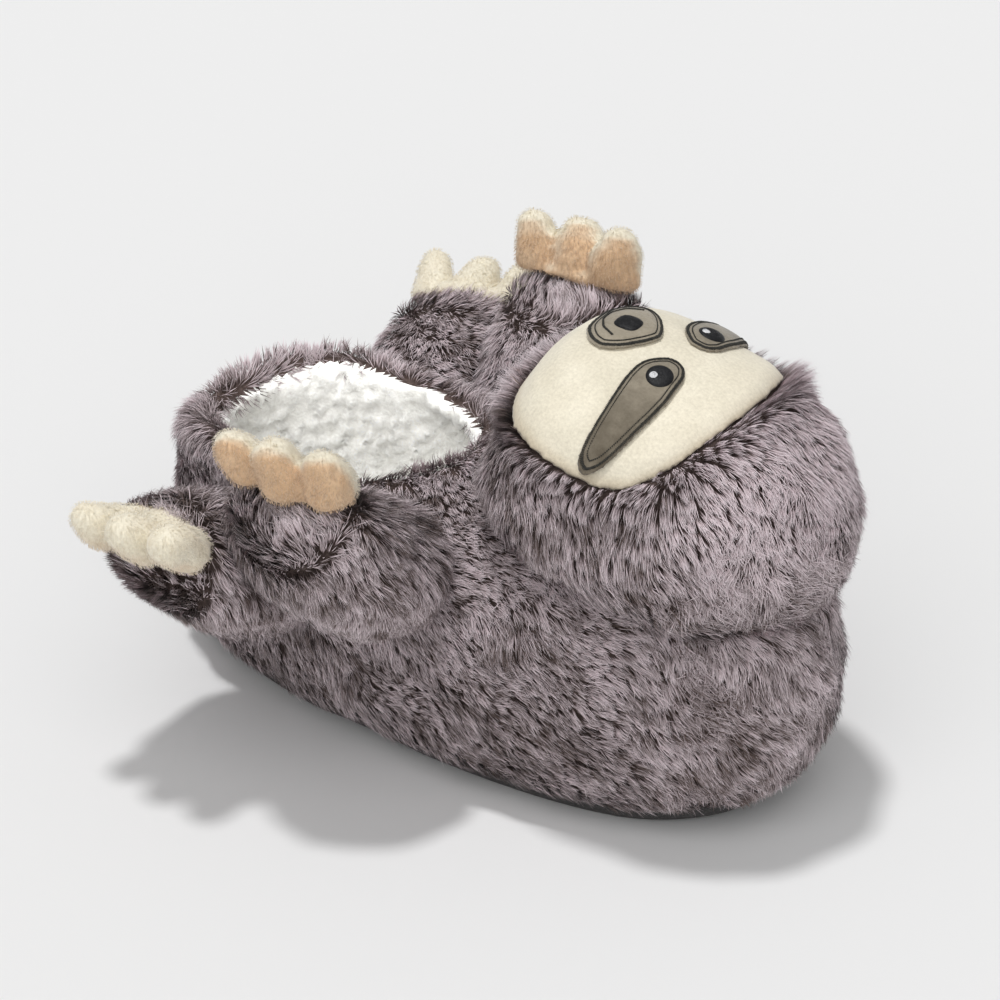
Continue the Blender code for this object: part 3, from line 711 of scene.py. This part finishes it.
for node in ("arm_claws_right", "arm_claws_left", "leg_claws_right", "leg_claws_left"):
    verts, faces, normals = remeshed(node, 1.4 * MM, 0.5, 7)
    top = verts[:, 2].max()
    if node.startswith("arm"):
        verts[:, 2] = top - ARM_CLAW_SINK - (top - verts[:, 2]) * ARM_CLAW_SHARE
    verts = verts + normals * (2.6 * (noise3(verts, 9.0 * MM, 70) - 0.5)
                               + 0.7 * noise3(verts, 5.0 * MM, 71))[:, None] * MM
    claws = mesh_piece(node + "_pile", verts, faces, claw_cloth)
    # Painted shade on the claws' shaded sides, with random tone on top
    tint = claw_shade_tint(normals, node.startswith("arm"))
    tint = tint + 0.25 * (noise3(verts, 5.0 * MM, 72) - 0.5)
    tinted(claws, tint)
    # The fuzz carries the same painted shade as the claws, with random tone
    grow(node + "_fuzz", (verts, faces, normals), np.ones(len(faces)),
         lambda p, n: np.tile(np.array([0.2, -0.1, -1.0]), (len(p), 1)), BUDGETS["claws"], CLAW_HAIR,
         lambda p, n, v, rng, arm=node.startswith("arm"): claw_shade_tint(n, arm) + 0.12 * rng.normal(size=len(p)),
         121, lift=(1.5, 1.0), clump=0.0, material=cream_pile)
    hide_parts(node)

# Face
c, s = math.cos(math.radians(HEAD_PITCH)), math.sin(math.radians(HEAD_PITCH))
FACE_X, FACE_UP = np.array([c, 0.0, -s]), np.array([s, 0.0, c])
FACE_Y = np.array([0.0, 1.0, 0.0])


def on_face(x, y, tree):
    """Place on a surface of the face under a point of the head's plan, with the surface's normal."""
    start = np.array(HEAD_MIDDLE) + FACE_X * x + FACE_Y * y + FACE_UP * 0.12
    place, normal, _, _ = tree.ray_cast(Vector(start), Vector(-FACE_UP))
    return (np.array(place), np.array(normal)) if place is not None else (None, None)


def in_plan(points):
    """Points of the frame in the head's plan."""
    offset = np.asarray(points) - np.array(HEAD_MIDDLE)
    return np.stack([offset @ FACE_X, offset @ FACE_Y], axis=1)


def outline_of(plan, count=160):
    """Outline of points in the head's plan: their convex hull with even steps."""
    points = sorted(set(map(tuple, np.round(plan, 6))))

    def half(row):
        chain = []
        for q in row:
            while len(chain) > 1 and ((chain[-1][0] - chain[-2][0]) * (q[1] - chain[-2][1])
                                      - (chain[-1][1] - chain[-2][1]) * (q[0] - chain[-2][0])) <= 0.0:
                chain.pop()
            chain.append(q)
        return chain[:-1]

    return resampled(np.array(half(points) + half(points[::-1])), count)


def resampled(ring, count):
    """Closed ring with even steps, lightly smoothed."""
    closed = np.concatenate([ring, ring[:1]])
    travel = np.concatenate([[0.0], np.cumsum(np.linalg.norm(np.diff(closed, axis=0), axis=1))])
    at = np.linspace(0.0, travel[-1], count, endpoint=False)
    even = np.stack([np.interp(at, travel, closed[:, k]) for k in range(closed.shape[1])], axis=1)
    for _ in range(3):
        even = 0.25 * np.roll(even, 1, axis=0) + 0.5 * even + 0.25 * np.roll(even, -1, axis=0)
    return even


def inset_ring(ring, amount):
    """Closed ring moved inward in its plane."""
    along = unit(np.roll(ring, -1, axis=0) - np.roll(ring, 1, axis=0))
    left = np.stack([-along[:, 1], along[:, 0]], axis=1)
    signed = 0.5 * np.sum(ring[:, 0] * np.roll(ring[:, 1], -1) - np.roll(ring[:, 0], -1) * ring[:, 1])
    return ring + left * (amount if signed > 0 else -amount)


def stitched(name, path, width, pitch, tree, material, closed=True, height=0.45 * MM, slant=0.35, seed=0):
    """Row of threads laid across a path of the face's plan, each a small rounded bar on the cloth."""
    rng = np.random.default_rng(seed)
    line = np.concatenate([path, path[:1]]) if closed else path
    travel = np.concatenate([[0.0], np.cumsum(np.linalg.norm(np.diff(line, axis=0), axis=1))])
    count = int(travel[-1] / pitch)
    at = np.linspace(0.0, travel[-1], count, endpoint=not closed)
    points, quads = [], []
    for k, distance in enumerate(at):
        here = np.array([np.interp(distance, travel, line[:, i]) for i in range(2)])
        ahead = np.array([np.interp(min(distance + pitch, travel[-1]), travel, line[:, i]) for i in range(2)])
        back = np.array([np.interp(max(distance - pitch, 0.0), travel, line[:, i]) for i in range(2)])
        along = unit(ahead - back)
        across = unit(np.array([-along[1], along[0]]) + along * slant)
        half = 0.5 * width * (1.0 + 0.10 * rng.normal())
        heart, _ = on_face(here[0], here[1], tree)
        if heart is None:
            continue
        ring_start = len(points)
        rows = 5
        for r in range(rows):
            share = -1.0 + 2.0 * r / (rows - 1.0)
            plan = here + across * half * share
            place, _ = on_face(plan[0], plan[1], tree)
            level = heart + FACE_X * across[0] * half * share + FACE_Y * across[1] * half * share
            drop = 0.0 if place is None else np.clip((place - heart) @ FACE_UP, -0.4 * half, 0.4 * half)
            place, normal = level + FACE_UP * drop, FACE_UP
            swell = math.sqrt(max(1.0 - (0.94 * share) ** 2, 0.0))
            forward = unit(FACE_X * along[0] + FACE_Y * along[1])
            for turn in range(6):
                angle = math.pi * (turn / 3.0)
                points.append(place + normal * (0.12 * MM + height * 0.5 * swell * (1.0 + math.sin(angle)))
                              + forward * 0.55 * pitch * math.cos(angle) * (0.4 + 0.6 * swell))
        made = (len(points) - ring_start) // 6
        for r in range(made - 1):
            for turn in range(6):
                a = ring_start + r * 6 + turn
                b = ring_start + r * 6 + (turn + 1) % 6
                quads.append((a, b, b + 6, a + 6))
    piece = mesh_piece(name, np.array(points), np.array(quads), material)
    return piece


def dome(name, middle, radii, tree, material, height, power=2.0, turn=0.0, rows=10, around=48, threads=0.0):
    """Raised pad of thread on the face: an oval in plan with ridges of thread across it."""
    points, triangles = [], []
    c, s = math.cos(turn), math.sin(turn)
    for r in range(rows + 1):
        share = r / rows
        for k in range(around):
            angle = 2.0 * math.pi * k / around
            ca, sa = math.cos(angle), math.sin(angle)
            stretch = (abs(ca) ** power + abs(sa) ** power) ** (-1.0 / power)
            lx, ly = radii[0] * share * ca * stretch, radii[1] * share * sa * stretch
            x, y = middle[0] + c * lx - s * ly, middle[1] + s * lx + c * ly
            place, normal = on_face(x, y, tree)
            if place is None:
                return None
            rise = height * math.sqrt(max(1.0 - share ** 2.6, 0.0)) + 0.10 * MM
            rise += threads * math.sin(2.0 * math.pi * ly / (0.7 * MM)) * (1.0 - share ** 4)
            points.append(place + normal * rise)
    for r in range(rows):
        for k in range(around):
            a, b = r * around + k, r * around + (k + 1) % around
            if r > 0:
                triangles.append((a, b + around, b))
            triangles.append((a, a + around, b + around))
    piece = mesh_piece(name, np.array(points), np.array(triangles), material)
    return piece


verts, faces, normals = remeshed("face_panel", 1.5 * MM, 0.5, 8)
plan_points = in_plan(verts)
outline = outline_of(plan_points)
border = np.concatenate([np.min(np.linalg.norm(part[:, None, :] - outline[None], axis=2), axis=1)
                         for part in np.array_split(plan_points, 40)])
verts = verts + normals * (0.35 * (noise3(verts, 22.0 * MM, 81) - 0.4))[:, None] * MM
verts = verts - FACE_UP * (1.3 * (1.0 - ramp(border, 0.0, 5.0 * MM)))[:, None] * MM
face = mesh_piece("face_cloth", verts, faces, face_cloth)
# Painted shade along the seam round the face panel
seam_painted_shade = 0.75 * (1.0 - ramp(border, 0.3 * MM, 2.6 * MM))
tinted(face, 0.90 + 0.25 * (noise3(verts, 9.0 * MM, 82) - 0.5) - seam_painted_shade)
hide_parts("face_panel")

PUPIL = (-11.6 * MM, 16.7 * MM)
PUPIL_RADII = (4.6 * MM, 4.6 * MM)
GLINT = (-13.2 * MM, -1.6 * MM)       # x in plan, then sideways from the pupil's middle
GLINT_RADII = (1.35 * MM, 1.35 * MM)
NOSE = (-34.0 * MM, -1.5 * MM)
NOSE_RADII = (4.5 * MM, 4.2 * MM)
MOUTH = ((-35.0, -10.0), (-40.0, -7.4), (-43.0, -2.5), (-43.0, 2.5), (-40.0, 7.4), (-35.0, 10.0))

for node in ("eye_patch_right", "eye_patch_left", "muzzle_patch"):
    verts, faces, normals = remeshed(node, 0.9 * MM, 0.5, 4)
    plan_points = in_plan(verts)
    outline = outline_of(plan_points)
    closest = np.min(np.linalg.norm(plan_points[:, None, :] - outline[None, ::3, :], axis=2), axis=1)
    verts = verts + normals * (0.35 * ramp(closest, 1.2 * MM, 5.0 * MM) - 0.1)[:, None] * MM
    patch = mesh_piece(node + "_cloth", verts, faces, patch_cloth)
    if node == "muzzle_patch":
        tint = 1.0 - 0.25 * noise3(verts, 4.0 * MM, 92)
    else:
        # Painted shade: the eye patches darken towards their tails, with random tone on top
        tail = ramp(np.abs(plan_points[:, 1]), 0.020, 0.044)
        tint = 0.68 - 0.36 * tail + 0.30 * (noise3(verts, 3.0 * MM, 91) - 0.5)
    tinted(patch, tint)
    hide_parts(node)
    tree = BVHTree.FromPolygons(verts.tolist(), faces.tolist())
    stitched(node + "_edge_stitching", inset_ring(outline, 0.95 * MM), 1.15 * MM, 0.46 * MM, tree,
             thread_dark, seed=5)
    stitched(node + "_inner_stitching", inset_ring(outline, 2.5 * MM), 0.45 * MM, 0.55 * MM, tree,
             thread_dark, height=0.3 * MM, seed=6)
    if node == "muzzle_patch":
        dome("nose", NOSE, NOSE_RADII, tree, thread_black, 0.8 * MM, power=2.8, threads=0.10 * MM)
        mouth = np.array(MOUTH) * MM
        travel = np.linspace(0, len(mouth) - 1, 60)
        mouth = np.stack([np.interp(travel, np.arange(len(mouth)), mouth[:, k]) for k in range(2)], axis=1)
        for _ in range(8):
            mouth[1:-1] = 0.25 * mouth[:-2] + 0.5 * mouth[1:-1] + 0.25 * mouth[2:]
        stitched("mouth_stitching", mouth, 0.8 * MM, 0.5 * MM, tree, thread_dark, closed=False, seed=7)
    else:
        side = -1.0 if node.endswith("right") else 1.0
        word = node.split("_")[-1]
        pupil = (PUPIL[0], side * PUPIL[1])
        dome("pupil_" + word, pupil, PUPIL_RADII, tree, thread_black, 0.8 * MM, threads=0.10 * MM)
        pad_verts, pad_faces, _ = arrays(bpy.data.objects["pupil_" + word])
        glint_tree = BVHTree.FromPolygons(pad_verts.tolist(), pad_faces.tolist())
        dome("glint_" + word, (GLINT[0], pupil[1] + GLINT[1]), GLINT_RADII, glint_tree, thread_white,
             0.35 * MM, rows=5, around=24)

# Footbed
verts, faces, normals = remeshed("insole", 1.7 * MM, 0.5, 4)
# The curls' tint is painted shade in the hollows between them, with random tone
curls, curl_shade = curled(verts, 64)
verts = verts + normals * (curls * ramp(normals[:, 2], 0.1, 0.6))[:, None]
footbed = mesh_piece("footbed_sherpa", verts, faces, sherpa_cloth)
tinted(footbed, curl_shade)
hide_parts("insole")

# Sole
sole = nodes["outsole"]
sole.data.materials.clear()
sole.data.materials.append(sole_foam)

# Floor, light and camera. A parallel light of share 1 alone, square to a white sheet, makes it read 1.
SUN_SHARE = 0.46
FILL_SHARE = 0.31
CARD_SHARE = 0.62
SKY_SHARE = 0.63
FLOOR = 30.0
floor_mesh = bpy.data.meshes.new("floor")
floor_mesh.from_pydata([(-FLOOR, -FLOOR, 0), (FLOOR, -FLOOR, 0), (FLOOR, FLOOR, 0), (-FLOOR, FLOOR, 0)], [],
                       [(0, 1, 2, 3)])
floor = bpy.data.objects.new("floor", floor_mesh)
bpy.context.scene.collection.objects.link(floor)
floor.location.z = -0.0004
floor_mat, _, floor_shader = make_material("floor_paper")
floor_shader.inputs["Base Color"].default_value = (0.84, 0.84, 0.84, 1.0)
floor_shader.inputs["Roughness"].default_value = 0.9
floor_shader.inputs["Specular IOR Level"].default_value = 0.0
floor_mesh.materials.append(floor_mat)
floor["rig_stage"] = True


def sun_light(name, share, angle, toward):
    """Parallel light from a direction, soft by its angle in degrees."""
    data = bpy.data.lights.new(name, "SUN")
    data.energy = share * math.pi
    data.angle = math.radians(angle)
    thing = bpy.data.objects.new(name, data)
    thing.rotation_euler = Vector(toward).to_track_quat("Z", "Y").to_euler()
    bpy.context.scene.collection.objects.link(thing)
    return thing


# Softness in degrees, and the direction that each light comes from
sun_light("overhead", SUN_SHARE, 6.0, (-0.12, 0.0, 1.0))
sun_light("fill", FILL_SHARE, 70.0, (0.30, -0.62, 0.72))

# A soft card that lights the lining alone
card = sun_light("white_card_over_the_opening", CARD_SHARE, 60.0, (0.10, -0.55, 0.85))
lit_by_card = bpy.data.collections.new("lit_by_card")
for piece in (upper_shell, footbed):
    lit_by_card.objects.link(piece)
card.light_linking.receiver_collection = lit_by_card

# A pale studio: bright round the horizon, softer overhead
world = bpy.data.worlds.new("studio")
bpy.context.scene.world = world
world.use_nodes = True
tree = world.node_tree
place = add(tree, "ShaderNodeTexCoord")
split = add(tree, "ShaderNodeSeparateXYZ")
sky = add(tree, "ShaderNodeValToRGB")
set_ramp(sky, ((0.0, (0.84, 0.84, 0.84)), (0.30, (0.62, 0.62, 0.62)), (1.0, (0.46, 0.46, 0.46))))
tree.links.new(place.outputs["Generated"], split.inputs[0])
tree.links.new(split.outputs[2], sky.inputs[0])
tree.links.new(sky.outputs[0], tree.nodes["Background"].inputs[0])
tree.nodes["Background"].inputs[1].default_value = SKY_SHARE

camera_data = bpy.data.cameras.new("camera")
camera_data.lens = VIEW_LENS
camera_data.sensor_width = 36.0
camera = bpy.data.objects.new("camera", camera_data)
bpy.context.scene.collection.objects.link(camera)
turn, rise = math.radians(VIEW_AZIMUTH), math.radians(VIEW_ELEVATION)
back = Vector((math.sin(turn) * math.cos(rise), -math.cos(turn) * math.cos(rise), math.sin(rise)))
camera.location = Vector(VIEW_TARGET) + back * VIEW_DISTANCE
camera.rotation_euler = (-back).to_track_quat("-Z", "Y").to_euler()
bpy.context.scene.camera = camera
bpy.context.scene.view_settings.view_transform = "Standard"

low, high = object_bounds()
